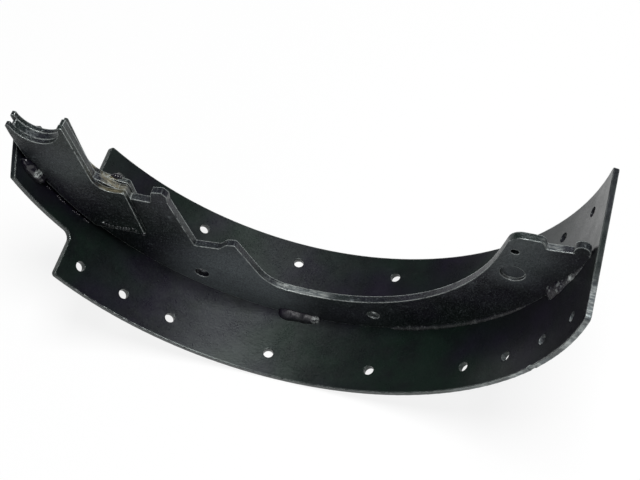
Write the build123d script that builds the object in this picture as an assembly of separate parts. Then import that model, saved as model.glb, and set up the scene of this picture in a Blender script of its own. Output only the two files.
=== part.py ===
from build123d import *
from math import cos, hypot, radians, sin
import os

# A fabricated drum brake shoe without its lining: a rolled sheet table, one flat web welded
# along its inside, and two doubler plates that thicken the web round the anchor seat.
#
# Millimetres and degrees. Angles go round the drum axis from straight below it and grow
# towards the adjuster end. A depth is measured inwards from the inside of the table.

# Table
LINING_FACE_RADIUS = 179.4
TABLE_THICKNESS = 3.5
TABLE_WIDTH = 101.6
TABLE_SHOULDER_ANGLE = -45.7
TABLE_ADJUSTER_ANGLE = 88.7
TABLE_CORNER_RADIUS = 2.5
TABLE_RIM_ROUND = 0.5
RIM_NICK_ANGLE = 66.3
RIM_NICK_DEPTH = 0.9
RIM_NICK_RADIUS = 5.0

# Tongue that carries the anchor end
TONGUE_WIDTH = 41.0
TONGUE_TIP_ANGLE = -68.4
TONGUE_POINT_SLOPE = 32.0
TONGUE_ROOT_RADIUS = 5.5
TONGUE_CORNER_RADIUS = 1.5

# Lining rivet holes, in two rows on a common pitch that skips the places between blocks
RIVET_HOLE_DIAMETER = 6.5
RIVET_ROW_SPACING = 71.0
RIVET_FIRST_ANGLE = -41.0
RIVET_PITCH_ANGLE = 11.0
RIVET_STEPS = (0, 1, 2, 4, 6, 8, 9, 10, 11)

# Web
WEB_THICKNESS = 4.76
WEB_OFFSET = -0.9  # the web stands a little in front of the middle of the table
WEB_ANCHOR_ANGLE = -67.5
WEB_ADJUSTER_ANGLE = 84.0

# Waist: one long relief arc between the strut peak and the adjuster hump
WAIST_WEB_HEIGHT = 27.9
WAIST_CENTRE_ANGLE = 15.1
WAIST_CENTRE_OFFSET = 25.7
WAIST_END_ANGLE = 71.6
WAIST_START_ANGLE = -1.0
WAIST_BLEND_RADIUS = 22.0

# Strut peak and the low ledge beside it
PEAK_HIGH_ANGLE = -13.0
PEAK_HIGH_DEPTH = 61.0
PEAK_LOW_ANGLE = -15.4
PEAK_LOW_DEPTH = 57.3
LEDGE_ANGLE = -16.6
LEDGE_DEPTH = 49.8
PEAK_CORNER_RADIUS = 1.5

# Tooth
TOOTH_FOOT_ANGLE = -22.5
TOOTH_FOOT_DEPTH = 40.6
TOOTH_SLOPE_ANGLE = -39.0
TOOTH_SLOPE_DEPTH = 66.3
TOOTH_NOSE_ANGLE = -41.2
TOOTH_NOSE_DEPTH = 70.5
TOOTH_CROWN_ANGLE = -43.7
TOOTH_CROWN_DEPTH = 70.3
TOOTH_BACK_ANGLE = -45.3
TOOTH_BACK_DEPTH = 64.0
TOOTH_ROOT_ANGLE = -41.8
TOOTH_ROOT_DEPTH = 55.6
TOOTH_CORNER_RADIUS = 1.2
TOOTH_ROOT_RADIUS = 1.0
WEB_STEP_ANGLE = -45.4
WEB_STEP_DEPTH = 45.2

# Adjuster hump, seat and end nub
HUMP_LEFT_ANGLE = 81.3
HUMP_LEFT_DEPTH = 43.6
HUMP_LEFT_RADIUS = 9.0
HUMP_RIGHT_ANGLE = 83.3
HUMP_RIGHT_DEPTH = 26.4
HUMP_RIGHT_RADIUS = 3.5
SEAT_INNER_ANGLE = 81.3
SEAT_INNER_DEPTH = 22.8
SEAT_OUTER_ANGLE = 83.3
SEAT_OUTER_DEPTH = 9.2
SEAT_CORNER_RADIUS = 0.8
NUB_ANGLE = 84.4
NUB_DEPTH = 5.2
NUB_RADIUS = 4.6

# Holes and marks in the web
SPRING_HOLE_DIAMETER = 9.5
SPRING_HOLE_ANGLE = -16.6
SPRING_HOLE_DEPTH = 13.5
GUIDE_HOLE_DIAMETER = 7.9
GUIDE_HOLE_ANGLE = 24.7
GUIDE_HOLE_DEPTH = 14.0
HOOK_HOLE_DIAMETER = 4.8
HOOK_HOLE_ANGLE = 76.1
HOOK_HOLE_DEPTH = 36.0
CUP_SEAT_DIAMETER = 14.8
CUP_SEAT_ANGLE = 68.2
CUP_SEAT_DEPTH = 26.2
CUP_SEAT_SINK = 2.0

# Anchor end: the doublers, and the seat that all three plates share
DOUBLER_THICKNESS = 3.175
DOUBLER_TABLE_GAP = 2.9
DOUBLER_FOOT_ANGLE = -42.0
DOUBLER_END_LOW_ANGLE = -34.2
DOUBLER_END_LOW_DEPTH = 27.4
DOUBLER_END_HIGH_ANGLE = -48.9
DOUBLER_END_HIGH_DEPTH = 49.5
DOUBLER_END_RADIUS = 2.0
VALLEY_ANGLE = -52.2
VALLEY_DEPTH = 33.0
VALLEY_RADIUS = 11.0
INNER_PRONG_ANGLE = -75.6
INNER_PRONG_DEPTH = 40.6
OUTER_PRONG_ANGLE = -74.8
PRONG_TIP_RADIUS = 1.0
REAR_INNER_PRONG_ANGLE = -74.2
REAR_INNER_PRONG_DEPTH = 39.3
REAR_VALLEY_ANGLE = -55.1
REAR_VALLEY_DEPTH = 30.4
REAR_VALLEY_RADIUS = 16.0
ANCHOR_PIN_DIAMETER = 31.75
ANCHOR_SEAT_CLEARANCE = 0.1
ANCHOR_SEAT_ANGLE = -75.5
ANCHOR_SEAT_DEPTH = 21.5
WEB_SETBACK = 0.8
WEB_PRONG_CUTBACK = 4.5

# Fillet welds
WELD_LEG = 4.5
WELD_BULGE = 0.9
HEEL_WELD_START_ANGLE = -64.5
HEEL_WELD_END_ANGLE = -57.5
HEEL_WELD_REACH = 4.4
HEEL_WELD_RISE = 3.0
MIDDLE_WELD_START_ANGLE = 2.2
MIDDLE_WELD_END_ANGLE = 11.6
MIDDLE_WELD_LEG = 5.5
LONG_WELD_START_ANGLE = 27.0
LONG_WELD_END_ANGLE = 61.0
LONG_WELD_LEG = 2.6
TOE_WELD_START_ANGLE = 69.0
TOE_WELD_END_ANGLE = 73.5
DOUBLER_WELD_LEG = 4.0
DOUBLER_WELD_START_SHARE = 0.12
DOUBLER_WELD_END_SHARE = 0.97

# How far the finished shoe is rolled round the drum axis to lie with its weight over
# the line that it rests on
REST_TURN = 6.83

foot_radius = LINING_FACE_RADIUS - TABLE_THICKNESS
web_face = WEB_THICKNESS / 2
doubler_face = web_face + DOUBLER_THICKNESS
seat_radius = ANCHOR_PIN_DIAMETER / 2 + ANCHOR_SEAT_CLEARANCE
waist_radius = foot_radius - WAIST_WEB_HEIGHT - WAIST_CENTRE_OFFSET
clear = 2 * TABLE_WIDTH  # longer than any wall that a cutter goes through


def at(angle, depth=0.0):
    """Point in the web's plane, as (x, z) from the drum axis."""
    radius = foot_radius - depth
    return radius * sin(radians(angle)), -radius * cos(radians(angle))


def arc_about_drum(depth, start_angle, end_angle):
    """Arc round the drum axis, in the web's plane."""
    return CenterArc((0, 0), foot_radius - depth, start_angle - 90, end_angle - start_angle)


def swept(section, start_angle, end_angle):
    """Solid from a section of (radius, y) points turned round the drum axis."""
    return revolve(Rot(0, 90 - end_angle, 0) * section, Axis.Y, revolution_arc=end_angle - start_angle)


def rounded(face, corners):
    """Face with the corner nearest to each (x, z) point rounded to the radius beside it."""
    for point, radius in corners:
        here = Vector(*point)
        corner = min(face.vertices(), key=lambda v: (Vector(v.X, v.Y) - here).length)
        face = fillet(corner, radius)
    return face


def plate(face, start, thickness):
    """Flat plate cut to an outline, from a distance in front of the shoe's middle plane."""
    return extrude(Plane.XZ.offset(start) * face, thickness)


def drill(diameter, angle, depth):
    """Cutter for a hole through the web, parallel to the drum axis."""
    x, z = at(angle, depth)
    return Pos(x, 0, z) * Rot(90, 0, 0) * Cylinder(diameter / 2, clear)


def make_table():
    section = Pos(foot_radius + TABLE_THICKNESS / 2, 0) * Rectangle(TABLE_THICKNESS, TABLE_WIDTH)
    table = swept(section, TONGUE_TIP_ANGLE - 1, TABLE_ADJUSTER_ANGLE)
    table -= tongue_side_cutter()
    table -= mirror(tongue_side_cutter(), Plane.XZ)
    table -= tongue_end_cutter()
    for y in (-TABLE_WIDTH / 2, TABLE_WIDTH / 2):
        for angle in (TABLE_SHOULDER_ANGLE, TABLE_ADJUSTER_ANGLE):
            table = round_radial_edge(table, angle, y, TABLE_CORNER_RADIUS)
    for y in (-TONGUE_WIDTH / 2, TONGUE_WIDTH / 2):
        table = round_radial_edge(table, TONGUE_TIP_ANGLE, y, TONGUE_CORNER_RADIUS)
    table = fillet([e for e in table.edges() if not is_radial(e)], TABLE_RIM_ROUND)
    cutters = []
    for step in RIVET_STEPS:
        angle = RIVET_FIRST_ANGLE + step * RIVET_PITCH_ANGLE
        for y in (-RIVET_ROW_SPACING / 2, RIVET_ROW_SPACING / 2):
            cutters.append(table_cutter(RIVET_HOLE_DIAMETER / 2, angle, y))
    nick_y = RIM_NICK_DEPTH - TABLE_WIDTH / 2 - RIM_NICK_RADIUS
    return table - cutters - table_cutter(RIM_NICK_RADIUS, RIM_NICK_ANGLE, nick_y)


def table_cutter(radius, angle, y):
    """Round cutter that stands radially through the table."""
    x, z = at(angle, -TABLE_THICKNESS / 2)
    return Pos(x, y, z) * Rot(0, -angle, 0) * Cylinder(radius, 4 * TABLE_THICKNESS)


def is_radial(edge):
    """Whether an edge of the table runs through its thickness."""
    a, b = edge @ 0, edge @ 1
    return abs(hypot(a.X, a.Z) - hypot(b.X, b.Z)) > TABLE_THICKNESS / 2


def tongue_side_cutter():
    """Sheet removed beside the tongue on the rear side, with the root of the corner rounded."""
    section = Rectangle(6 * TABLE_THICKNESS, TABLE_WIDTH)
    section = Pos(foot_radius, TONGUE_WIDTH / 2 + TABLE_WIDTH / 2) * section
    cutter = swept(section, TONGUE_TIP_ANGLE - 20, TABLE_SHOULDER_ANGLE)
    return round_radial_edge(cutter, TABLE_SHOULDER_ANGLE, TONGUE_WIDTH / 2, TONGUE_ROOT_RADIUS)


def tongue_end_cutter():
    """Sheet removed beyond the tongue's shallow point."""
    half = TABLE_WIDTH / 2
    drop = half * sin(radians(TONGUE_POINT_SLOPE)) / cos(radians(TONGUE_POINT_SLOPE))
    beyond = Polyline((0, 0), (-drop, half), (half, half), (half, -half), (-drop, -half), (0, 0))
    x, z = at(TONGUE_TIP_ANGLE)
    outward = Vector(x, 0, z).normalized()
    along = Vector(outward.Z, 0, -outward.X)
    frame = Plane(origin=(x, 0, z), x_dir=along, z_dir=outward)
    return extrude(frame * make_face(beyond), 3 * TABLE_THICKNESS, both=True)


def round_radial_edge(solid, angle, y, radius):
    """Rounds the edge that stands radially at an angle and a distance along the drum axis."""
    x, z = at(angle, -TABLE_THICKNESS / 2)
    here = Vector(x, y, z)
    edge = min((e for e in solid.edges() if is_radial(e)), key=lambda e: ((e @ 0.5) - here).length)
    return fillet(edge, radius)


def anchor_outline(valley, valley_radius, inner_prong, setback=0.0):
    """Doubler outline: prongs, anchor seat, valley and square end, drawn in by a setback."""
    foot = DOUBLER_TABLE_GAP
    points = [
        at(DOUBLER_FOOT_ANGLE, foot),
        at(DOUBLER_END_LOW_ANGLE, DOUBLER_END_LOW_DEPTH),
        at(DOUBLER_END_HIGH_ANGLE, DOUBLER_END_HIGH_DEPTH),
        valley,
        inner_prong,
        at(OUTER_PRONG_ANGLE, foot),
    ]
    face = make_face(arc_about_drum(foot, OUTER_PRONG_ANGLE, DOUBLER_FOOT_ANGLE) + Polyline(*points))
    face = rounded(face, [(points[3], valley_radius), (points[2], DOUBLER_END_RADIUS)])
    if setback:
        face = offset(face, -setback, kind=Kind.INTERSECTION)
    return face - Pos(*at(ANCHOR_SEAT_ANGLE, ANCHOR_SEAT_DEPTH)) * Circle(seat_radius)


def make_doubler(valley, valley_radius, inner_prong):
    """Doubler in front of the web."""
    tips = [(inner_prong, PRONG_TIP_RADIUS), (at(OUTER_PRONG_ANGLE, DOUBLER_TABLE_GAP), PRONG_TIP_RADIUS)]
    outline = anchor_outline(valley, valley_radius, inner_prong)
    return plate(rounded(outline, tips), web_face, DOUBLER_THICKNESS)


def make_web():
    face = web_body() + anchor_outline(valley, VALLEY_RADIUS, inner_prong, WEB_SETBACK)
    tip = at(OUTER_PRONG_ANGLE, DOUBLER_TABLE_GAP)
    face -= Pos(*tip) * Circle(WEB_PRONG_CUTBACK)
    face += Pos(*at(NUB_ANGLE, NUB_DEPTH)) * Circle(NUB_RADIUS)
    web = plate(face, -web_face, WEB_THICKNESS)
    web -= drill(SPRING_HOLE_DIAMETER, SPRING_HOLE_ANGLE, SPRING_HOLE_DEPTH)
    web -= drill(GUIDE_HOLE_DIAMETER, GUIDE_HOLE_ANGLE, GUIDE_HOLE_DEPTH)
    web -= drill(HOOK_HOLE_DIAMETER, HOOK_HOLE_ANGLE, HOOK_HOLE_DEPTH)
    x, z = at(CUP_SEAT_ANGLE, CUP_SEAT_DEPTH)
    cup = Pos(x, -web_face, z) * Rot(90, 0, 0) * Cylinder(CUP_SEAT_DIAMETER / 2, 2 * CUP_SEAT_SINK)
    return web - cup


def web_body():
    """Web outline from the tongue to the adjuster seat, without the prongs and the nub."""
    waist_centre = (WAIST_CENTRE_OFFSET * sin(radians(WAIST_CENTRE_ANGLE)),
                    -WAIST_CENTRE_OFFSET * cos(radians(WAIST_CENTRE_ANGLE)))

    def on_waist(angle):
        """Point of the waist arc that lies at an angle seen from the drum axis."""
        ux, uz = sin(radians(angle)), -cos(radians(angle))
        along = ux * waist_centre[0] + uz * waist_centre[1]
        reach = along + (waist_radius**2 - WAIST_CENTRE_OFFSET**2 + along**2) ** 0.5
        return reach * ux, reach * uz

    start, end = on_waist(WAIST_START_ANGLE), on_waist(WAIST_END_ANGLE)
    middle = on_waist((WAIST_START_ANGLE + WAIST_END_ANGLE) / 2)
    adjuster = [
        end,
        at(HUMP_LEFT_ANGLE, HUMP_LEFT_DEPTH),
        at(HUMP_RIGHT_ANGLE, HUMP_RIGHT_DEPTH),
        at(SEAT_INNER_ANGLE, SEAT_INNER_DEPTH),
        at(SEAT_OUTER_ANGLE, SEAT_OUTER_DEPTH),
        at(WEB_ADJUSTER_ANGLE),
    ]
    anchor = [
        at(WEB_ANCHOR_ANGLE),
        at(WEB_ANCHOR_ANGLE, DOUBLER_TABLE_GAP + WEB_SETBACK),
        at(DOUBLER_END_HIGH_ANGLE, WEB_STEP_DEPTH),
        at(WEB_STEP_ANGLE, WEB_STEP_DEPTH),
        at(TOOTH_ROOT_ANGLE, TOOTH_ROOT_DEPTH),
        at(TOOTH_BACK_ANGLE, TOOTH_BACK_DEPTH),
        at(TOOTH_CROWN_ANGLE, TOOTH_CROWN_DEPTH),
        at(TOOTH_NOSE_ANGLE, TOOTH_NOSE_DEPTH),
        at(TOOTH_SLOPE_ANGLE, TOOTH_SLOPE_DEPTH),
        at(TOOTH_FOOT_ANGLE, TOOTH_FOOT_DEPTH),
        at(LEDGE_ANGLE, LEDGE_DEPTH),
        at(PEAK_LOW_ANGLE, PEAK_LOW_DEPTH),
        at(PEAK_HIGH_ANGLE, PEAK_HIGH_DEPTH),
        start,
    ]
    outline = arc_about_drum(0, WEB_ANCHOR_ANGLE, WEB_ADJUSTER_ANGLE)
    outline += Polyline(*anchor) + ThreePointArc(start, middle, end) + Polyline(*adjuster)
    corners = [(start, WAIST_BLEND_RADIUS), (anchor[4], TOOTH_ROOT_RADIUS)]
    radii = (HUMP_LEFT_RADIUS, HUMP_RIGHT_RADIUS, SEAT_CORNER_RADIUS)
    corners += list(zip(adjuster[1:4], radii))
    corners += [(point, TOOTH_CORNER_RADIUS) for point in anchor[5:9]]
    corners += [(point, PEAK_CORNER_RADIUS) for point in anchor[10:13]]
    return rounded(make_face(outline), corners)


def fillet_section(wall, reach, rise, lift=0.0):
    """Section of a weld in the corner of the table and a wall, as (radius, y) points."""
    toe, top = (foot_radius, -wall - reach), (foot_radius - lift - rise, -wall)
    out, across = Vector(*toe), Vector(*top)
    middle = (out + across) / 2
    chord = across - out
    bulge = Vector(-abs(chord.Y), -abs(chord.X)).normalized() * WELD_BULGE
    bead = ThreePointArc(toe, middle + bulge, top)
    if lift:
        inside = Polyline(top, (foot_radius - lift, -wall), (foot_radius - lift, -web_face),
                          (foot_radius, -web_face), toe)
    else:
        inside = Polyline(top, (foot_radius, -wall), toe)
    return make_face(bead + inside)


def make_doubler_weld():
    """Bead in the corner of the front doubler's slanting lower edge and the web."""
    low = Vector(*at(DOUBLER_FOOT_ANGLE, DOUBLER_TABLE_GAP))
    high = Vector(*at(DOUBLER_END_LOW_ANGLE, DOUBLER_END_LOW_DEPTH))
    run = high - low
    start = low + run * DOUBLER_WELD_START_SHARE
    length = run.length * (DOUBLER_WELD_END_SHARE - DOUBLER_WELD_START_SHARE)
    along = Vector(run.X, 0, run.Y).normalized()
    down = Vector(along.Z, 0, -along.X)
    frame = Plane(origin=(start.X, -web_face, start.Y), x_dir=down, z_dir=along)
    depth = DOUBLER_THICKNESS * (1 if frame.y_dir.Y < 0 else -1)
    toe, top = (DOUBLER_WELD_LEG, 0), (0, depth)
    bulge = Vector(DOUBLER_WELD_LEG / 2, depth / 2) * (1 + WELD_BULGE / hypot(DOUBLER_WELD_LEG, depth))
    section = make_face(ThreePointArc(toe, bulge, top) + Polyline(top, (0, 0), toe))
    return extrude(frame * section, length)


valley, inner_prong = at(VALLEY_ANGLE, VALLEY_DEPTH), at(INNER_PRONG_ANGLE, INNER_PRONG_DEPTH)
rear_valley = at(REAR_VALLEY_ANGLE, REAR_VALLEY_DEPTH)
rear_inner_prong = at(REAR_INNER_PRONG_ANGLE, REAR_INNER_PRONG_DEPTH)
as_it_lies = Pos(0, 0, LINING_FACE_RADIUS) * Rot(0, REST_TURN, 0)
on_web = as_it_lies * Pos(0, WEB_OFFSET, 0)

welds = {
    "heel_weld": swept(fillet_section(doubler_face, HEEL_WELD_REACH, HEEL_WELD_RISE, DOUBLER_TABLE_GAP),
                       HEEL_WELD_START_ANGLE, HEEL_WELD_END_ANGLE),
    "doubler_weld": make_doubler_weld(),
    "middle_weld": swept(fillet_section(web_face, MIDDLE_WELD_LEG, WELD_LEG),
                         MIDDLE_WELD_START_ANGLE, MIDDLE_WELD_END_ANGLE),
    "long_weld": swept(fillet_section(web_face, LONG_WELD_LEG, LONG_WELD_LEG),
                       LONG_WELD_START_ANGLE, LONG_WELD_END_ANGLE),
    "toe_weld": swept(fillet_section(web_face, WELD_LEG, WELD_LEG),
                      TOE_WELD_START_ANGLE, TOE_WELD_END_ANGLE),
}
nodes = {
    "shoe_table": as_it_lies * make_table(),
    "shoe_web": on_web * make_web(),
    "front_doubler": on_web * make_doubler(valley, VALLEY_RADIUS, inner_prong),
    "rear_doubler": on_web * mirror(make_doubler(rear_valley, REAR_VALLEY_RADIUS, rear_inner_prong), Plane.XZ),
}
for name, solid in welds.items():
    nodes["front_" + name] = on_web * solid
    nodes["rear_" + name] = on_web * mirror(solid, Plane.XZ)

os.makedirs("parts", exist_ok=True)
for name, solid in nodes.items():
    export_step(solid, f"parts/{name}.step")
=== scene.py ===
"""Bare drum brake shoe: painted steel plates, weld beads and a plain studio stage."""

import math

import bmesh
import bpy
from bpy.props import FloatProperty, FloatVectorProperty, IntProperty, PointerProperty
from mathutils import Euler, Matrix, Vector, noise


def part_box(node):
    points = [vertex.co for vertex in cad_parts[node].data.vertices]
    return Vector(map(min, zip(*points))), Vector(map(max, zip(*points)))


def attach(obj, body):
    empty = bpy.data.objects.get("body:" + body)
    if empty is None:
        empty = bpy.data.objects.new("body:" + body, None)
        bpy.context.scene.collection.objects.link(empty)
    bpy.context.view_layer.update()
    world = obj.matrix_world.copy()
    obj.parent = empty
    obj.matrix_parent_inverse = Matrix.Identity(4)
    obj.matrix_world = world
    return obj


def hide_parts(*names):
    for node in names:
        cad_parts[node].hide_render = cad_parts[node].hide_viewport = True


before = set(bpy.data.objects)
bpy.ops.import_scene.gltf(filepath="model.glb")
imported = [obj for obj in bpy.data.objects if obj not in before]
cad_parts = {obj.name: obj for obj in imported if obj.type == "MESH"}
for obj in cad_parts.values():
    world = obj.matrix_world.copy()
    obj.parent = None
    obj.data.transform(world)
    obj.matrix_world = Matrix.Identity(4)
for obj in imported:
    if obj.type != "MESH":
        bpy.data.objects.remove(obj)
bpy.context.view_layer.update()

bl_info = {
    "name": "Drum Brake Shoe",
    "version": (1, 0, 0),
    "blender": (4, 5, 0),
    "location": "View3D > Sidebar > Brake Shoe",
    "description": "Paint, weld beads and stage for a bare drum brake shoe",
    "category": "Object",
}

WEB_LOW, WEB_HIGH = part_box("shoe_web")
FRONT_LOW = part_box("front_doubler")[0]
REAR_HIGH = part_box("rear_doubler")[1]

# Angles are in degrees round the drum axis; lengths and radii are in metres.
STATION_PITCH = 0.00022  # distance between the stations that a bead is modelled by
BEAD_ACROSS = 18  # steps across the face of a bead
BEAD_ROOT = 0.0004  # how far a bead is closed inside the plates
HEEL_RUN = (-64.9, -57.2)  # where the heavy bead at the foot of a doubler starts and ends
CRUST_RUN = (-57.0, -42.6)  # where the crust that follows it starts and ends
CRUST_DROPS = 44  # places for a drop of crust
CRUST_GAP = -0.10  # noise under which a place has no drop
CRUST_REACH = (0.0003, 0.0006)  # distance of a drop from the wall, and what noise adds
CRUST_SIZE = (0.00065, 0.00035)  # radius of a drop, and what noise adds
SLANT_LOW = (-42.0, 0.1730)  # ends of the slanting foot of a doubler, as (angle, radius)
SLANT_HIGH = (-34.2, 0.1485)
SLANT_SHARES = (0.12, 0.97)  # where along the slanting foot its bead starts and ends
RIVET_ROW = 0.0355  # from the middle of the table to either row of rivet holes
HOLES_MIDDLE = 0.0185  # middle of the rows along X
HOLES_HALF_RUN = 0.1560  # half the length of the rows along X
FLOOR_HALF = 6.0
FLOOR_GLOW = 0.86  # share of the floor that the camera and reflections see as white
WORLD_COLOUR = (0.93, 0.96, 1.0)
WORLD_STRENGTH = 0.09
# Lights, as (place, point aimed at, size, power in watts)
KEY_LIGHT = ((0.30, 0.03, 1.84), (-0.02, 0.0, 0.03), 0.8, 41.0)
FILL_LIGHT = ((-0.5, -1.5, 1.1), (0.0, 0.0, 0.05), 1.0, 3.5)
CAMERA_PLACE = (0.15072, -0.41057, 0.74329)
CAMERA_TURN = (33.611, 1.732, 15.592)  # about X, Y and Z
CAMERA_LENS = 73.45  # in millimetres, like the width of the sensor
CAMERA_SENSOR = 36.0

# Where the paint is off the table's cut rim, as (angle, reach, amount)
TABLE_BARE = ((52.0, 0.030, 0.6), (66.0, 0.034, 0.9), (84.0, 0.036, 1.0))
# Spots on the plates, as (angle, radius, reach, amount)
# Grey film that paints a sheen on the web, by the peak and on the hump
WEB_PAINTED_SHEENS = ((-8.0, 0.1650, 0.068, 1.0), (18.0, 0.1650, 0.050, 0.10),
             (77.0, 0.1440, 0.030, 0.45), (69.0, 0.1500, 0.022, 0.45))
WEB_BARE = ((4.5, 0.1390, 0.020, 0.7), (10.5, 0.1440, 0.018, 0.6), (24.7, 0.1620, 0.008, 3.0),
            (68.2, 0.1497, 0.013, 0.4), (82.4, 0.1545, 0.009, 0.7), (-52.0, 0.1390, 0.024, 0.9))
WEB_RUSTY = ((-52.0, 0.1390, 0.026, 1.0),)
# Grey film that paints a sheen on the doublers' faces
DOUBLER_PAINTED_SHEENS = ((-62.0, 0.1500, 0.026, 0.30),)
# Bare cut edges of the doublers: rusty steel in the valley, and at -48.9 degrees a painted glint on
# the end corner
DOUBLER_BARE_AND_GLINT = ((-52.5, 0.1400, 0.024, 0.95), (-48.9, 0.1264, 0.005, 0.9))

# Lumps of weld metal over the slanting foot of a doubler, as (angle, radius, size)
EDGE_LUMPS = ((-41.9, 0.1655, 0.0013), (-41.3, 0.1650, 0.0012), (-40.7, 0.1640, 0.0014),
              (-40.1, 0.1620, 0.0012), (-39.4, 0.1600, 0.0014), (-38.8, 0.1585, 0.0016),
              (-38.3, 0.1568, 0.0020), (-38.0, 0.1550, 0.0017), (-37.6, 0.1535, 0.0014),
              (-37.2, 0.1508, 0.0012), (-36.2, 0.1510, 0.0009), (-34.3, 0.1492, 0.0014))
# Scale on the rear doubler's valley edge, as (angle, radius, size); for the camera it also
# covers the sliver of a rivet hole that shows over this edge
VALLEY_SCALE = ((-52.0, 0.1357, 0.0009), (-51.7, 0.1346, 0.0013), (-51.4, 0.1336, 0.0019),
                (-51.0, 0.1325, 0.0019), (-50.7, 0.1313, 0.0014))


class BrakeShoeSizes(bpy.types.PropertyGroup):
    """Sizes that the weld beads are laid by."""

    drum_axis_height: FloatProperty(
        name="Drum axis height",
        description="Height of the drum axis over the line that the shoe rests on",
        default=0.1794, unit="LENGTH")
    inner_radius: FloatProperty(
        name="Inside radius of the table",
        description="Radius of the surface that the web is welded to",
        default=0.1759, unit="LENGTH")
    rest_turn: FloatProperty(
        name="Rest turn",
        description="How far the shoe is rolled to lie with its weight over the line it rests on",
        default=math.radians(6.83), subtype="ANGLE")
    bead_leg: FloatProperty(
        name="Short bead leg",
        description="Width of the short fillet welds on each plate",
        default=0.0046, unit="LENGTH")
    long_bead_leg: FloatProperty(
        name="Long bead leg",
        description="Width of the long fillet weld on each plate",
        default=0.0024, unit="LENGTH")
    heel_bead_leg: FloatProperty(
        name="Heel bead leg",
        description="Width of the heavy weld at the foot of each doubler",
        default=0.0046, unit="LENGTH")
    ripple_pitch: FloatProperty(
        name="Ripple pitch",
        description="Distance between the ripples of a bead",
        default=0.0016, unit="LENGTH")
    ripple_height: FloatProperty(
        name="Ripple height",
        description="Height of the ripples of a bead",
        default=0.00022, unit="LENGTH")
    seed: IntProperty(
        name="Seed", description="Picks the lumps of the beads and the spatter", default=4)


class BrakeShoeColours(bpy.types.PropertyGroup):
    """Colours of the paint and of the metal that shows through it."""

    paint: FloatVectorProperty(
        name="Paint", description="Black paint over the plates",
        default=(0.0026, 0.0028, 0.0040), size=3, subtype="COLOR", min=0, max=1)
    paint_green: FloatVectorProperty(
        name="Green cast", description="Patches of the paint with a green cast",
        default=(0.0036, 0.0088, 0.0062), size=3, subtype="COLOR", min=0, max=1)
    paint_violet: FloatVectorProperty(
        name="Violet cast", description="Patches of the paint with a violet cast",
        default=(0.0054, 0.0032, 0.0098), size=3, subtype="COLOR", min=0, max=1)
    # Pale steel of rubbed edges; it also paints highlights along the corners and on the welds.
    worn_and_highlight: FloatVectorProperty(
        name="Worn edge and highlight", description="Steel that shows along rubbed edges",
        default=(0.42, 0.45, 0.44), size=3, subtype="COLOR", min=0, max=1)
    rust: FloatVectorProperty(
        name="Rust", description="Dark rust in the streaks of bare edges",
        default=(0.045, 0.038, 0.018), size=3, subtype="COLOR", min=0, max=1)
    dry_rust: FloatVectorProperty(
        name="Dry rust", description="Pale rust in the streaks of bare edges",
        default=(0.19, 0.17, 0.115), size=3, subtype="COLOR", min=0, max=1)
    # Also the colour of the grey film that paints a sheen on the plates.
    dust: FloatVectorProperty(
        name="Dust", description="Pale dust and scuffs on the paint",
        default=(0.122, 0.140, 0.148), size=3, subtype="COLOR", min=0, max=1)
    floor: FloatVectorProperty(
        name="Floor", description="Colour of the floor",
        default=(0.82, 0.82, 0.82), size=3, subtype="COLOR", min=0, max=1)


class Nodes:
    """Short way to add and join nodes in one node tree."""

    def __init__(self, tree):
        self.tree = tree

    def add(self, kind, **values):
        node = self.tree.nodes.new(kind)
        for key, value in values.items():
            setattr(node, key, value)
        return node

    def put(self, value, socket):
        """Sets a socket to a value, or joins another socket to it."""
        if isinstance(value, bpy.types.NodeSocket):
            self.tree.links.new(value, socket)
        else:
            socket.default_value = value

    def math(self, operation, a, b=0.0, clamp=False):
        node = self.add("ShaderNodeMath", operation=operation, use_clamp=clamp)
        self.put(a, node.inputs[0])
        self.put(b, node.inputs[1])
        return node.outputs[0]

    def band(self, value, low, high, to_low=0.0, to_high=1.0):
        """Smooth step of a value between two limits."""
        node = self.add("ShaderNodeMapRange", interpolation_type="SMOOTHSTEP")
        for socket, what in zip(node.inputs, (value, low, high, to_low, to_high)):
            self.put(what, socket)
        return node.outputs[0]

    def noise(self, vector, scale, detail=3.0, roughness=0.5):
        node = self.add("ShaderNodeTexNoise")
        self.put(vector, node.inputs["Vector"])
        self.put(scale, node.inputs["Scale"])
        self.put(detail, node.inputs["Detail"])
        self.put(roughness, node.inputs["Roughness"])
        return node.outputs[0]

    def mix(self, factor, a, b):
        """Colour mixed from a to b."""
        node = self.add("ShaderNodeMix", data_type="RGBA")
        self.put(factor, node.inputs[0])
        self.put(a, node.inputs[6])
        self.put(b, node.inputs[7])
        return node.outputs[2]

    def place(self):
        """Position on the shoe, in metres in the shoe's own frame."""
        return self.add("ShaderNodeTexCoord").outputs["Object"]


def new_group(name, inputs, outputs):
    """Empty shader node group with named sockets; gives the group, its nodes and both ends."""
    group = bpy.data.node_groups.new(name, "ShaderNodeTree")
    for label, kind, default in inputs:
        socket = group.interface.new_socket(label, in_out="INPUT", socket_type=kind)
        socket.default_value = default
    for label, kind in outputs:
        group.interface.new_socket(label, in_out="OUTPUT", socket_type=kind)
    nodes = Nodes(group)
    return group, nodes, nodes.add("NodeGroupInput").outputs, nodes.add("NodeGroupOutput").inputs


def rgba(colour):
    return (*colour, 1.0)


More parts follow.
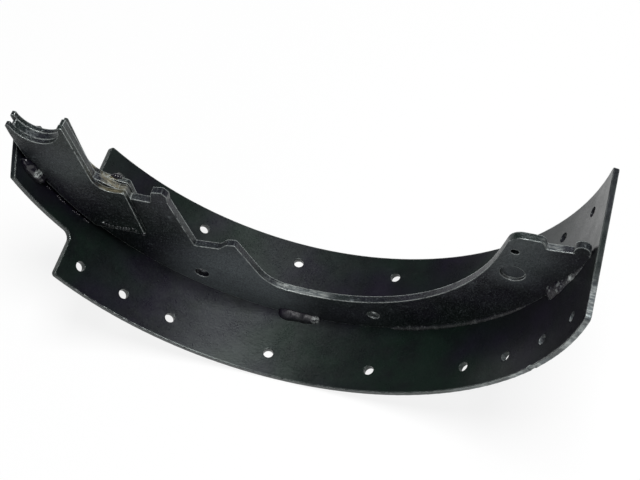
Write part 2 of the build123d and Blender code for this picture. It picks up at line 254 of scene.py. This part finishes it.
def black_paint_group(colours):
    """Brushed-on black paint: mottled colour, uneven gloss and the skin of a thick coat."""
    group, n, ins, outs = new_group(
        "Black paint",
        [("Green share", "NodeSocketFloat", 0.5), ("Dust", "NodeSocketFloat", 0.25),
         ("Gloss", "NodeSocketFloat", 0.36)],
        [("Color", "NodeSocketColor"), ("Roughness", "NodeSocketFloat"),
         ("Height", "NodeSocketFloat")])
    place = n.place()
    drift = n.noise(place, 16.0, 2.0, 0.5)
    cast = n.band(n.math("ADD", drift, n.math("SUBTRACT", ins["Green share"], 0.5)), 0.40, 0.62)
    colour = n.mix(cast, rgba(colours.paint_violet), rgba(colours.paint_green))
    cloud = n.band(n.noise(place, 60.0, 4.0, 0.6), 0.35, 0.70)
    colour = n.mix(n.math("MULTIPLY", cloud, 0.75), colour, rgba(colours.paint))
    speck = n.band(n.noise(place, 1150.0, 2.0, 0.7), 0.56, 0.66)
    scuff = n.band(n.noise(place, 160.0, 5.0, 0.75), 0.58, 0.76)
    dust = n.math("MULTIPLY", n.math("MAXIMUM", n.math("MULTIPLY", speck, 0.6), scuff),
                  ins["Dust"])
    n.put(n.mix(dust, colour, rgba(colours.dust)), outs["Color"])
    patch = n.noise(place, 75.0, 4.0, 0.65)
    grain = n.noise(place, 1300.0, 1.0, 0.5)
    rough = n.math("ADD", ins["Gloss"], n.math("MULTIPLY", n.math("SUBTRACT", patch, 0.5), 0.22))
    rough = n.math("ADD", rough, n.math("MULTIPLY", n.math("SUBTRACT", grain, 0.5), 0.30))
    n.put(n.math("ADD", rough, n.math("MULTIPLY", dust, 0.25), clamp=True), outs["Roughness"])
    peel = n.noise(place, 620.0, 2.0, 0.6)
    wave = n.noise(place, 55.0, 2.0, 0.5)
    height = n.math("ADD", peel, n.math("MULTIPLY", grain, 0.25))
    n.put(n.math("ADD", height, n.math("MULTIPLY", wave, 2.5)), outs["Height"])
    return group


def worn_and_highlight_edge_group():
    """Mask of the corners painted pale, broken up along their length: partly steel bared by rubbing
    and partly a painted highlight along the corner lines.

    Holes is 1 on the table, whose rivet holes keep their paint.
    """
    group, n, ins, outs = new_group(
        "Worn edge and highlight",
        [("Width", "NodeSocketFloat", 0.0006), ("Holes", "NodeSocketFloat", 0.0)],
        [("Mask", "NodeSocketFloat"), ("Normal", "NodeSocketVector")])
    bevel = n.add("ShaderNodeBevel", samples=6)
    n.put(ins["Width"], bevel.inputs["Radius"])
    face = n.add("ShaderNodeNewGeometry")
    dot = n.add("ShaderNodeVectorMath", operation="DOT_PRODUCT")
    n.put(bevel.outputs[0], dot.inputs[0])
    n.put(face.outputs["Normal"], dot.inputs[1])
    corner = n.band(dot.outputs["Value"], 0.995, 0.90)
    place = n.place()
    breaks = n.band(n.noise(place, 140.0, 4.0, 0.7), 0.32, 0.52)
    split = n.add("ShaderNodeSeparateXYZ")
    n.put(place, split.inputs[0])
    beside = n.math("ABSOLUTE", split.outputs["Y"])
    from_row = n.math("ABSOLUTE", n.math("SUBTRACT", beside, RIVET_ROW))
    from_middle = n.math("ABSOLUTE", n.math("SUBTRACT", split.outputs["X"], HOLES_MIDDLE))
    in_row = n.math("MULTIPLY", n.band(from_row, 0.0050, 0.0045),
                    n.band(from_middle, HOLES_HALF_RUN + 0.0005, HOLES_HALF_RUN - 0.0005))
    kept = n.math("SUBTRACT", 1.0, n.math("MULTIPLY", in_row, ins["Holes"]))
    worn_and_highlight = n.math("MULTIPLY", corner, breaks)
    n.put(n.math("MULTIPLY", worn_and_highlight, kept, clamp=True), outs["Mask"])
    n.put(bevel.outputs[0], outs["Normal"])
    return group


def sheared_edge_group(colours):
    """Cut edges of the plates: streaks along the edge, rust and bare steel.

    Rolled is 0 on a flat plate, whose broad faces look along the drum axis, and 1 on the
    rolled table, whose broad faces look at the axis or away from it.
    """
    group, n, ins, outs = new_group(
        "Sheared edge",
        [("Rust", "NodeSocketFloat", 0.3), ("Rolled", "NodeSocketFloat", 0.0)],
        [("Mask", "NodeSocketFloat"), ("Color", "NodeSocketColor")])
    face = n.add("ShaderNodeNewGeometry")
    split = n.add("ShaderNodeSeparateXYZ")
    n.put(face.outputs["True Normal"], split.inputs[0])
    arm = n.add("ShaderNodeVectorMath", operation="SUBTRACT")
    n.put(n.place(), arm.inputs[0])
    n.put((0.0, 0.0, bpy.context.scene.brake_shoe_sizes.drum_axis_height), arm.inputs[1])
    level = n.add("ShaderNodeVectorMath", operation="MULTIPLY")
    n.put(arm.outputs[0], level.inputs[0])
    n.put((1.0, 0.0, 1.0), level.inputs[1])
    radial = n.add("ShaderNodeVectorMath", operation="NORMALIZE")
    n.put(level.outputs[0], radial.inputs[0])
    facing = n.add("ShaderNodeVectorMath", operation="DOT_PRODUCT")
    n.put(radial.outputs[0], facing.inputs[0])
    n.put(face.outputs["True Normal"], facing.inputs[1])
    broad = n.math("ADD",
                   n.math("MULTIPLY", n.math("ABSOLUTE", facing.outputs["Value"]), ins["Rolled"]),
                   n.math("MULTIPLY", n.math("ABSOLUTE", split.outputs["Y"]),
                          n.math("SUBTRACT", 1.0, ins["Rolled"])))
    edge_on = n.band(broad, 0.75, 0.35)
    stretch = n.add("ShaderNodeMapping")
    n.put(n.place(), stretch.inputs["Vector"])
    stretch.inputs["Scale"].default_value = (0.16, 1.0, 0.16)
    streak = n.noise(stretch.outputs[0], 800.0, 3.0, 0.65)
    bare = n.band(streak, 0.42, 0.62)
    n.put(n.math("MULTIPLY", edge_on, n.band(n.noise(n.place(), 75.0, 4.0, 0.65), 0.34, 0.58)),
          outs["Mask"])
    rust = n.mix(bare, rgba(colours.rust), rgba(colours.dry_rust))
    steel = n.mix(bare, rgba(colours.dust), rgba(colours.worn_and_highlight))
    n.put(n.mix(n.math("MULTIPLY", ins["Rust"],
                       n.band(n.noise(n.place(), 210.0, 4.0, 0.7), 0.30, 0.52)), steel, rust),
          outs["Color"])
    return group


def near_group():
    """Mask that has its amount at a point of the shoe and fades out at its reach."""
    group, n, ins, outs = new_group(
        "Near a place",
        [("Point", "NodeSocketVector", (0.0, 0.0, 0.0)),
         ("Reach", "NodeSocketFloat", 0.03), ("Amount", "NodeSocketFloat", 1.0)],
        [("Mask", "NodeSocketFloat")])
    apart = n.add("ShaderNodeVectorMath", operation="DISTANCE")
    n.put(n.place(), apart.inputs[0])
    n.put(ins["Point"], apart.inputs[1])
    share = n.math("DIVIDE", apart.outputs["Value"], ins["Reach"])
    n.put(n.band(share, 1.0, 0.3, 0.0, ins["Amount"]), outs["Mask"])
    return group


def painted_sheen_group():
    """Mask of a painted sheen on the flat faces: a pale chalky film that thins out from a place,
    with grit in it.
    """
    group, n, ins, outs = new_group(
        "Painted sheen film",
        [("Near", "NodeSocketFloat", 0.0), ("Grit", "NodeSocketFloat", 0.5)],
        [("Mask", "NodeSocketFloat")])
    place = n.place()
    cloud = n.band(n.noise(place, 42.0, 3.0, 0.55), 0.12, 0.46)
    grit = n.band(n.noise(place, 1000.0, 2.0, 0.7), 0.38, 0.60)
    kept = n.math("SUBTRACT", 1.0, n.math("MULTIPLY", ins["Grit"], n.math("SUBTRACT", 1.0, grit)))
    face = n.add("ShaderNodeNewGeometry")
    split = n.add("ShaderNodeSeparateXYZ")
    n.put(face.outputs["True Normal"], split.inputs[0])
    flat = n.band(n.math("ABSOLUTE", split.outputs["Y"]), 0.5, 0.9)
    spread = n.math("MULTIPLY", n.math("MULTIPLY", ins["Near"], cloud), flat)
    n.put(n.math("MULTIPLY", spread, kept, clamp=True), outs["Mask"])
    return group


def use(n, group, **values):
    """Places a node group in a material and sets its inputs."""
    node = n.add("ShaderNodeGroup", node_tree=group)
    for key, value in values.items():
        n.put(value, node.inputs[key.replace("_", " ")])
    return node.outputs


def shared(name, build, *arguments):
    """The named node group, built the first time that it is asked for."""
    found = bpy.data.node_groups.get(name)
    return found if found else build(*arguments)


def bump(n, height, distance, normal=None):
    """Normal of a surface that a height raises by up to a distance."""
    node = n.add("ShaderNodeBump")
    node.inputs["Distance"].default_value = distance
    node.inputs["Strength"].default_value = 1.0
    n.put(height, node.inputs["Height"])
    if normal is not None:
        n.put(normal, node.inputs["Normal"])
    return node.outputs[0]


def nearness(n, spots):
    """Mask of the places near any of several spots, each (point, reach, amount)."""
    mask = None
    for point, reach, amount in spots:
        near = use(n, shared("Near a place", near_group), Point=point, Reach=reach, Amount=amount)
        mask = near["Mask"] if mask is None else n.math("MAXIMUM", mask, near["Mask"])
    return 0.0 if mask is None else mask


def painted_plate(name, paint, edge, sheen, painted_sheens=(), bare_edges_and_glints=(), rusty=()):
    """Painted steel plate with sheared edges, pale corners and an uneven coat; the pale corners are
    partly worn steel and partly a painted highlight.

    paint is (green share, dust, gloss, skin) and edge is (rust, width of the pale corner,
    rolled). sheen is the strength and the cast of the gloss. The three lists of spots give
    where a grey film paints a sheen on the flat faces, where the paint is off the cut edges
    (one doubler spot there paints a glint) and where those edges are rusty.
    """
    colours = bpy.context.scene.brake_shoe_colours
    material = bpy.data.materials.new(name)
    material.use_nodes = True
    n = Nodes(material.node_tree)
    shader = n.tree.nodes["Principled BSDF"]
    green, dust, gloss, skin = paint
    rust, width, rolled = edge
    coat = use(n, shared("Black paint", black_paint_group, colours),
               Green_share=green, Dust=dust, Gloss=gloss)
    worn_and_highlight = use(n, shared("Worn edge and highlight", worn_and_highlight_edge_group), Width=width, Holes=rolled)
    cut = use(n, shared("Sheared edge", sheared_edge_group, colours), Rolled=rolled,
              Rust=n.math("MAXIMUM", nearness(n, rusty), rust))
    # Painted sheen: a pale grey film on the flat faces at the given spots.
    painted_sheen = use(n, shared("Painted sheen film", painted_sheen_group), Near=nearness(n, painted_sheens), Grit=0.5)
    # Cut edges with the paint off; at one doubler spot this paints a glint.
    bared = n.math("MULTIPLY", cut["Mask"], n.math("MAXIMUM", nearness(n, bare_edges_and_glints), 0.02))
    colour = n.mix(painted_sheen["Mask"], coat["Color"], rgba(colours.dust))
    colour = n.mix(bared, colour, cut["Color"])
    # Pale corners: partly worn steel, partly a painted highlight along the corner lines.
    colour = n.mix(worn_and_highlight["Mask"], colour, rgba(colours.worn_and_highlight))
    bare = n.math("MAXIMUM", worn_and_highlight["Mask"], n.math("MULTIPLY", bared, 0.5))
    n.put(colour, shader.inputs["Base Color"])
    n.put(n.math("ADD", coat["Roughness"], n.math("MULTIPLY", painted_sheen["Mask"], 0.12), clamp=True),
          shader.inputs["Roughness"])
    n.put(n.math("MULTIPLY", bare, 0.5), shader.inputs["Metallic"])
    n.put(bump(n, coat["Height"], skin, worn_and_highlight["Normal"]), shader.inputs["Normal"])
    shader.inputs["Specular IOR Level"].default_value = sheen[0]
    shader.inputs["Specular Tint"].default_value = rgba(sheen[1])
    return material


def weld_metal(name, gloss, rubbed, dust, spots=()):
    """Weld metal under thin paint, rubbed on the crests of its ripples, and pale at the spots
    given; on the heel and middle beads those spots paint a highlight.
    """
    colours = bpy.context.scene.brake_shoe_colours
    material = bpy.data.materials.new(name)
    material.use_nodes = True
    n = Nodes(material.node_tree)
    shader = n.tree.nodes["Principled BSDF"]
    coat = use(n, shared("Black paint", black_paint_group, colours),
               Green_share=0.45, Dust=dust, Gloss=gloss)
    place = n.place()
    rub = n.band(n.noise(place, 300.0, 3.0, 0.6), 0.55, 0.66)
    face = n.add("ShaderNodeNewGeometry")
    crest = n.band(face.outputs["Pointiness"], 0.50, 0.56)
    bare = n.math("MULTIPLY", rub, n.math("ADD", 0.35, n.math("MULTIPLY", crest, 0.65)))
    bare = n.math("MULTIPLY", bare, rubbed)
    # Pale spots: painted highlights on the heel and middle beads.
    if spots:
        bare = n.math("MAXIMUM", bare, n.math("MULTIPLY", nearness(n, spots),
                                              n.band(n.noise(place, 700.0, 2.0, 0.6), 0.40, 0.56)))
    n.put(n.mix(bare, coat["Color"], rgba(colours.worn_and_highlight)), shader.inputs["Base Color"])
    spread = n.math("MULTIPLY", n.math("SUBTRACT", coat["Roughness"], gloss), 0.35)
    n.put(n.math("ADD", spread, gloss), shader.inputs["Roughness"])
    n.put(n.math("MULTIPLY", bare, 0.5), shader.inputs["Metallic"])
    lumps = n.noise(place, 330.0, 0.0, 0.5)
    height = n.math("ADD", n.math("MULTIPLY", coat["Height"], 0.15), n.math("MULTIPLY", lumps, 2.0))
    n.put(bump(n, height, 0.00025), shader.inputs["Normal"])
    return material


def dress(node, material):
    """Gives a node of the shoe its material."""
    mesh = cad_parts[node].data
    mesh.materials.clear()
    mesh.materials.append(material)


def on_shoe(angle, radius, y):
    """Point of the shoe at an angle round the drum axis, as the shoe lies."""
    sizes = bpy.context.scene.brake_shoe_sizes
    turned = math.radians(angle) - sizes.rest_turn
    height = sizes.drum_axis_height - radius * math.cos(turned)
    return Vector((radius * math.sin(turned), y, height))


def spots_at(places):
    """Spots in the plane of the web, from (angle, radius, reach, amount)."""
    return [(on_shoe(angle, radius, 0), reach, amount) for angle, radius, reach, amount in places]


def inward(angle):
    """Direction from the table to the drum axis at an angle."""
    return (on_shoe(angle, 0.0, 0.0) - on_shoe(angle, 1.0, 0.0)).normalized()


def lumpy(point, scale, seed):
    """Smooth noise from -1 to 1 at a point."""
    return noise.noise(point * scale + Vector((seed * 7.1, seed * 3.7, seed * 1.3)))


def width_at(share, widths):
    """Width of a bead at a share of its length, between the (share, width) pairs given."""
    for (low, a), (high, b) in zip(widths, widths[1:]):
        if share <= high:
            t = (share - low) / (high - low)
            return a + (b - a) * t * t * (3 - 2 * t)
    return widths[-1][1]


def bead_mesh(name, line, legs, crown, ripple, seed, widths=((0, 1), (1, 1)), spatter=()):
    """Fillet weld along a line of corners, each given as (corner, along plate, up wall).

    legs are the widths on the plate and up the wall. The bead is closed underneath by its
    corner line, which lies a little inside the plates.
    """
    sizes = bpy.context.scene.brake_shoe_sizes
    mesh = bpy.data.meshes.new(name)
    made = bmesh.new()
    length = sum((b[0] - a[0]).length for a, b in zip(line, line[1:]))
    run = 0.0
    rings = []
    for index, (corner, along_plate, up_wall) in enumerate(line):
        if index:
            run += (corner - line[index - 1][0]).length
        share = run / length
        taper = max(0.04, 1 - abs(2 * share - 1) ** 6) ** 0.5 * width_at(share, widths)
        swell = 1 + 0.14 * lumpy(corner, 190.0, seed)
        out = (along_plate + up_wall).normalized()
        ring = []
        for step in range(BEAD_ACROSS + 1):
            t = step / BEAD_ACROSS
            toe = along_plate * legs[0] * (1 - t) + up_wall * legs[1] * t
            phase = run / sizes.ripple_pitch + 0.8 * (2 * t - 1) ** 2
            wave = ripple * (0.5 + 0.5 * math.cos(2 * math.pi * phase))
            bulge = (crown + wave) * math.sin(math.pi * t) ** 0.8
            point = corner + toe * taper * swell + out * bulge * taper
            knob = 0.30 * crown * lumpy(point, 260.0, seed + 1) * math.sin(math.pi * t)
            ring.append(made.verts.new(point + out * knob * taper))
        ring.append(made.verts.new(corner - out * BEAD_ROOT))
        rings.append(ring)
    count = BEAD_ACROSS + 2
    for a, b in zip(rings, rings[1:]):
        for k in range(count):
            made.faces.new((a[k], a[(k + 1) % count], b[(k + 1) % count], b[k]))
    made.faces.new(list(reversed(rings[0])))
    made.faces.new(rings[-1])
    for centre, size in spatter:
        bmesh.ops.create_icosphere(
            made, subdivisions=2, radius=size, matrix=Matrix.Translation(centre))
    bmesh.ops.recalc_face_normals(made, faces=made.faces)
    made.to_mesh(mesh)
    made.free()
    mesh.shade_smooth()
    piece = bpy.data.objects.new(name, mesh)
    bpy.context.scene.collection.objects.link(piece)
    return piece


def arc_line(start, end, y, side):
    """Corner line of a weld between the table and a wall that faces to one side."""
    sizes = bpy.context.scene.brake_shoe_sizes
    steps = max(8, int(math.radians(abs(end - start)) * sizes.inner_radius / STATION_PITCH))
    line = []
    for index in range(steps + 1):
        angle = start + (end - start) * index / steps
        corner = on_shoe(angle, sizes.inner_radius, y)
        line.append((corner, Vector((0, side, 0)), inward(angle)))
    return line


def straight_line(low, high, along_plate, up_wall):
    """Corner line of a weld between two points."""
    steps = max(8, int((high - low).length / STATION_PITCH))
    return [(low.lerp(high, index / steps), along_plate, up_wall) for index in range(steps + 1)]


def crusted(start, end, wall, side, seed):
    """Uneven crust of drops, as (centre, size), along the foot of a wall."""
    sizes = bpy.context.scene.brake_shoe_sizes
    drops = []
    for index in range(CRUST_DROPS):
        angle = start + (end - start) * (index + 0.5) / CRUST_DROPS
        probe = on_shoe(angle, sizes.inner_radius, wall)
        swell = lumpy(probe, 150.0, seed)
        if swell < CRUST_GAP:
            continue
        reach = CRUST_REACH[0] + CRUST_REACH[1] * lumpy(probe, 900.0, seed + 1)
        size = CRUST_SIZE[0] + CRUST_SIZE[1] * swell
        drops.append((on_shoe(angle, sizes.inner_radius - 0.0002, wall + side * reach), size))
    return drops


def set_bead(piece, material, node):
    """Puts a bead in place of the plain weld it stands for."""
    piece.data.materials.append(material)
    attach(piece, "root")
    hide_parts(node)


class BRAKESHOE_OT_table(bpy.types.Operator):
    """Paint the rolled table, rubbed along its rim at the adjuster end"""

    bl_idname = "brakeshoe.table"
    bl_label = "Table"

    def execute(self, context):
        sizes = context.scene.brake_shoe_sizes
        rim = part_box("shoe_table")[0].y
        bare = [(on_shoe(angle, sizes.inner_radius, rim), reach, amount)
                for angle, reach, amount in TABLE_BARE]
        dress("shoe_table", painted_plate(
            "Table paint", paint=(0.50, 0.05, 0.35, 0.00005), edge=(0.0, 0.0010, 1.0),
            sheen=(0.5, (0.89, 1.0, 0.95)), bare_edges_and_glints=bare))
        return {"FINISHED"}


class BRAKESHOE_OT_web(bpy.types.Operator):
    """Paint the web, with a grey film that paints a sheen by the peak and on the hump"""

    bl_idname = "brakeshoe.web"
    bl_label = "Web"

    def execute(self, context):
        dress("shoe_web", painted_plate(
            "Web paint", paint=(0.50, 0.75, 0.38, 0.0003), edge=(0.15, 0.0011, 0.0),
            sheen=(0.42, (0.90, 0.98, 1.0)), painted_sheens=spots_at(WEB_PAINTED_SHEENS),
            bare_edges_and_glints=spots_at(WEB_BARE), rusty=spots_at(WEB_RUSTY)))
        return {"FINISHED"}


class BRAKESHOE_OT_doublers(bpy.types.Operator):
    """Paint the two doubler plates, rusty in the valley between prong and end, with a grey film
    that paints a sheen on their faces and a painted glint at an end corner
    """

    bl_idname = "brakeshoe.doublers"
    bl_label = "Doublers"

    def execute(self, context):
        material = painted_plate(
            "Doubler paint", paint=(0.50, 0.75, 0.36, 0.0007), edge=(1.0, 0.0010, 0.0),
            sheen=(0.28, (0.88, 1.0, 0.97)), painted_sheens=spots_at(DOUBLER_PAINTED_SHEENS),
            bare_edges_and_glints=spots_at(DOUBLER_BARE_AND_GLINT))
        for node in ("front_doubler", "rear_doubler"):
            dress(node, material)
        return {"FINISHED"}


class BRAKESHOE_OT_table_beads(bpy.types.Operator):
    """Lay the fillet welds between the table and the web"""

    bl_idname = "brakeshoe.table_beads"
    bl_label = "Table beads"

    def execute(self, context):
        sizes = context.scene.brake_shoe_sizes
        leg, thin = sizes.bead_leg, sizes.long_bead_leg
        # Painted highlight: a pale spot near the end of the middle bead.
        middle_highlight = on_shoe(10.6, sizes.inner_radius - 0.0020, WEB_LOW.y - 0.0020)
        toe = on_shoe(76.1, sizes.inner_radius - 0.0008, -0.0040)
        smooth = weld_metal("Middle weld metal with painted highlight", 0.50, 0.02, 0.0, [(middle_highlight, 0.0040, 0.55)])
        thin_metal = weld_metal("Thin weld metal", 0.40, 0.25, 0.18)
        light_metal = weld_metal("Light weld metal", 0.40, 0.80, 0.90, [(toe, 0.0030, 1.0)])
        ripple = sizes.ripple_height
        # Each run is (name, start, end, legs, crown, ripple, metal, widths)
        runs = (("middle_weld", 2.2, 11.6, (leg * 1.2, leg), 0.0014, ripple * 0.15, smooth,
                 ((0, 1.1), (1, 0.8))),
                ("long_weld", 27.0, 61.0, (thin, thin), 0.0005, ripple, thin_metal,
                 ((0, 1), (1, 0.7))),
                ("toe_weld", 67.6, 80.5, (leg * 1.25, leg * 1.1), 0.0008, ripple * 0.5, light_metal,
                 ((0, 1), (0.3, 0.95), (0.5, 0.5), (1, 0.25))))
        for side, wall, label in ((-1, WEB_LOW.y, "front"), (1, WEB_HIGH.y, "rear")):
            for index, (name, start, end, legs, crown, wave, metal, widths) in enumerate(runs):
                seed = sizes.seed + (index + 1) * (2 + side)
                piece = bead_mesh(f"{label}_{name}_bead", arc_line(start, end, wall, side),
                                  legs, crown, wave, seed, widths)
                set_bead(piece, metal, f"{label}_{name}")
        return {"FINISHED"}


class BRAKESHOE_OT_doubler_beads(bpy.types.Operator):
    """Lay the welds that hold the doublers to the table and to the web"""

    bl_idname = "brakeshoe.doubler_beads"
    bl_label = "Doubler beads"

    def execute(self, context):
        sizes = context.scene.brake_shoe_sizes
        # Painted highlight: a pale spot on the crest of the heel bead.
        heel_highlight = on_shoe(-60.7, sizes.inner_radius - 0.0040, FRONT_LOW.y - 0.0015)
        heavy = weld_metal("Heel weld metal with painted highlight", 0.20, 0.04, 0.05, [(heel_highlight, 0.0040, 1.6)])
        light = bpy.data.materials["Light weld metal"]
        leg = sizes.heel_bead_leg
        low, high = on_shoe(*SLANT_LOW, 0.0), on_shoe(*SLANT_HIGH, 0.0)
        start, end = [low.lerp(high, share) for share in SLANT_SHARES]
        run = (end - start).normalized()
        away = Vector((run.z, 0, -run.x))
        if away.dot(inward(-38.0)) > 0:
            away = -away
        for side, label in ((-1, "front"), (1, "rear")):
            wall = FRONT_LOW.y if side < 0 else REAR_HIGH.y
            web = WEB_LOW.y if side < 0 else WEB_HIGH.y
            crust = crusted(*CRUST_RUN, wall, side, sizes.seed + 31 + side)
            if side > 0:
                crust += [(on_shoe(angle, radius, wall - 0.0004), size)
                          for angle, radius, size in VALLEY_SCALE]
            bead = bead_mesh(f"{label}_heel_weld_bead", arc_line(*HEEL_RUN, wall, side),
                             (leg, leg * 1.25), 0.0019, sizes.ripple_height * 0.1,
                             sizes.seed + 11 + side, ((0, 0.8), (0.5, 1.0), (1, 0.85)), crust)
            set_bead(bead, heavy, f"{label}_heel_weld")
            shift = Vector((0, web, 0))
            line = straight_line(start + shift, end + shift, away, Vector((0, side, 0)))
            lumps = [(on_shoe(angle, radius, wall - side * 0.0002), size)
                     for angle, radius, size in EDGE_LUMPS]
            bead = bead_mesh(f"{label}_doubler_weld_bead", line, (0.0030, abs(wall - web)),
                             0.0006, sizes.ripple_height, sizes.seed + 21 + side, spatter=lumps)
            set_bead(bead, light, f"{label}_doubler_weld")
        return {"FINISHED"}


class BRAKESHOE_OT_stage(bpy.types.Operator):
    """Set out the floor, lights and camera"""

    bl_idname = "brakeshoe.stage"
    bl_label = "Stage"

    def execute(self, context):
        colours = context.scene.brake_shoe_colours
        mesh = bpy.data.meshes.new("floor")
        corners = [(x * FLOOR_HALF, y * FLOOR_HALF, 0)
                   for x, y in ((-1, -1), (1, -1), (1, 1), (-1, 1))]
        mesh.from_pydata(corners, [], [(0, 1, 2, 3)])
        floor = bpy.data.objects.new("floor", mesh)
        context.scene.collection.objects.link(floor)
        mesh.materials.append(floor_material(colours.floor))
        world = bpy.data.worlds.new("Studio")
        world.use_nodes = True
        background = world.node_tree.nodes["Background"]
        background.inputs["Color"].default_value = rgba(WORLD_COLOUR)
        background.inputs["Strength"].default_value = WORLD_STRENGTH
        context.scene.world = world
        soft_light("key_softbox", *KEY_LIGHT)
        soft_light("fill_softbox", *FILL_LIGHT)
        data = bpy.data.cameras.new("camera")
        data.sensor_width = CAMERA_SENSOR
        data.lens = CAMERA_LENS
        data.clip_end = 50.0
        camera = bpy.data.objects.new("camera", data)
        camera.location = CAMERA_PLACE
        camera.rotation_euler = Euler([math.radians(angle) for angle in CAMERA_TURN])
        context.scene.collection.objects.link(camera)
        context.scene.camera = camera
        context.scene.view_settings.view_transform = "Standard"
        return {"FINISHED"}


def floor_material(colour):
    """Matt floor that lenses and reflections see as white, with the shoe's shadow kept."""
    material = bpy.data.materials.new("Floor")
    material.use_nodes = True
    n = Nodes(material.node_tree)
    shader = n.tree.nodes["Principled BSDF"]
    shader.inputs["Base Color"].default_value = rgba(colour)
    shader.inputs["Roughness"].default_value = 0.9
    glow = n.add("ShaderNodeEmission")
    rays = n.add("ShaderNodeLightPath").outputs
    seen = n.math("MAXIMUM", rays["Is Camera Ray"], rays["Is Glossy Ray"])
    seen = n.math("MAXIMUM", seen, rays["Is Transmission Ray"])
    mix = n.add("ShaderNodeMixShader")
    n.put(n.math("MULTIPLY", seen, FLOOR_GLOW), mix.inputs[0])
    n.put(shader.outputs[0], mix.inputs[1])
    n.put(glow.outputs[0], mix.inputs[2])
    n.put(mix.outputs[0], n.tree.nodes["Material Output"].inputs["Surface"])
    return material


def soft_light(name, place, target, size, power):
    """Square area light aimed at a point."""
    data = bpy.data.lights.new(name, "AREA")
    data.shape = "SQUARE"
    data.size = size
    data.energy = power
    light = bpy.data.objects.new(name, data)
    light.location = place
    aim = Vector(target) - Vector(place)
    light.rotation_euler = aim.to_track_quat("-Z", "Y").to_euler()
    bpy.context.scene.collection.objects.link(light)
    return light


class BRAKESHOE_PT_build(bpy.types.Panel):
    """Buttons that build the shoe's looks"""

    bl_idname = "BRAKESHOE_PT_build"
    bl_label = "Brake Shoe"
    bl_space_type = "VIEW_3D"
    bl_region_type = "UI"
    bl_category = "Brake Shoe"

    def draw(self, context):
        for settings in (context.scene.brake_shoe_sizes, context.scene.brake_shoe_colours):
            for key in settings.__annotations__:
                self.layout.prop(settings, key)
        for operator in OPERATORS:
            self.layout.operator(operator.bl_idname)


OPERATORS = (
    BRAKESHOE_OT_table,
    BRAKESHOE_OT_web,
    BRAKESHOE_OT_doublers,
    BRAKESHOE_OT_table_beads,
    BRAKESHOE_OT_doubler_beads,
    BRAKESHOE_OT_stage,
)
CLASSES = (BrakeShoeSizes, BrakeShoeColours, *OPERATORS, BRAKESHOE_PT_build)


def register():
    for cls in CLASSES:
        bpy.utils.register_class(cls)
    bpy.types.Scene.brake_shoe_sizes = PointerProperty(type=BrakeShoeSizes)
    bpy.types.Scene.brake_shoe_colours = PointerProperty(type=BrakeShoeColours)


def unregister():
    del bpy.types.Scene.brake_shoe_colours
    del bpy.types.Scene.brake_shoe_sizes
    for cls in reversed(CLASSES):
        bpy.utils.unregister_class(cls)


def main():
    register()
    bpy.ops.brakeshoe.table()
    bpy.ops.brakeshoe.web()
    bpy.ops.brakeshoe.doublers()
    bpy.ops.brakeshoe.table_beads()
    bpy.ops.brakeshoe.doubler_beads()
    bpy.ops.brakeshoe.stage()


if __name__ == "__main__":
    main()
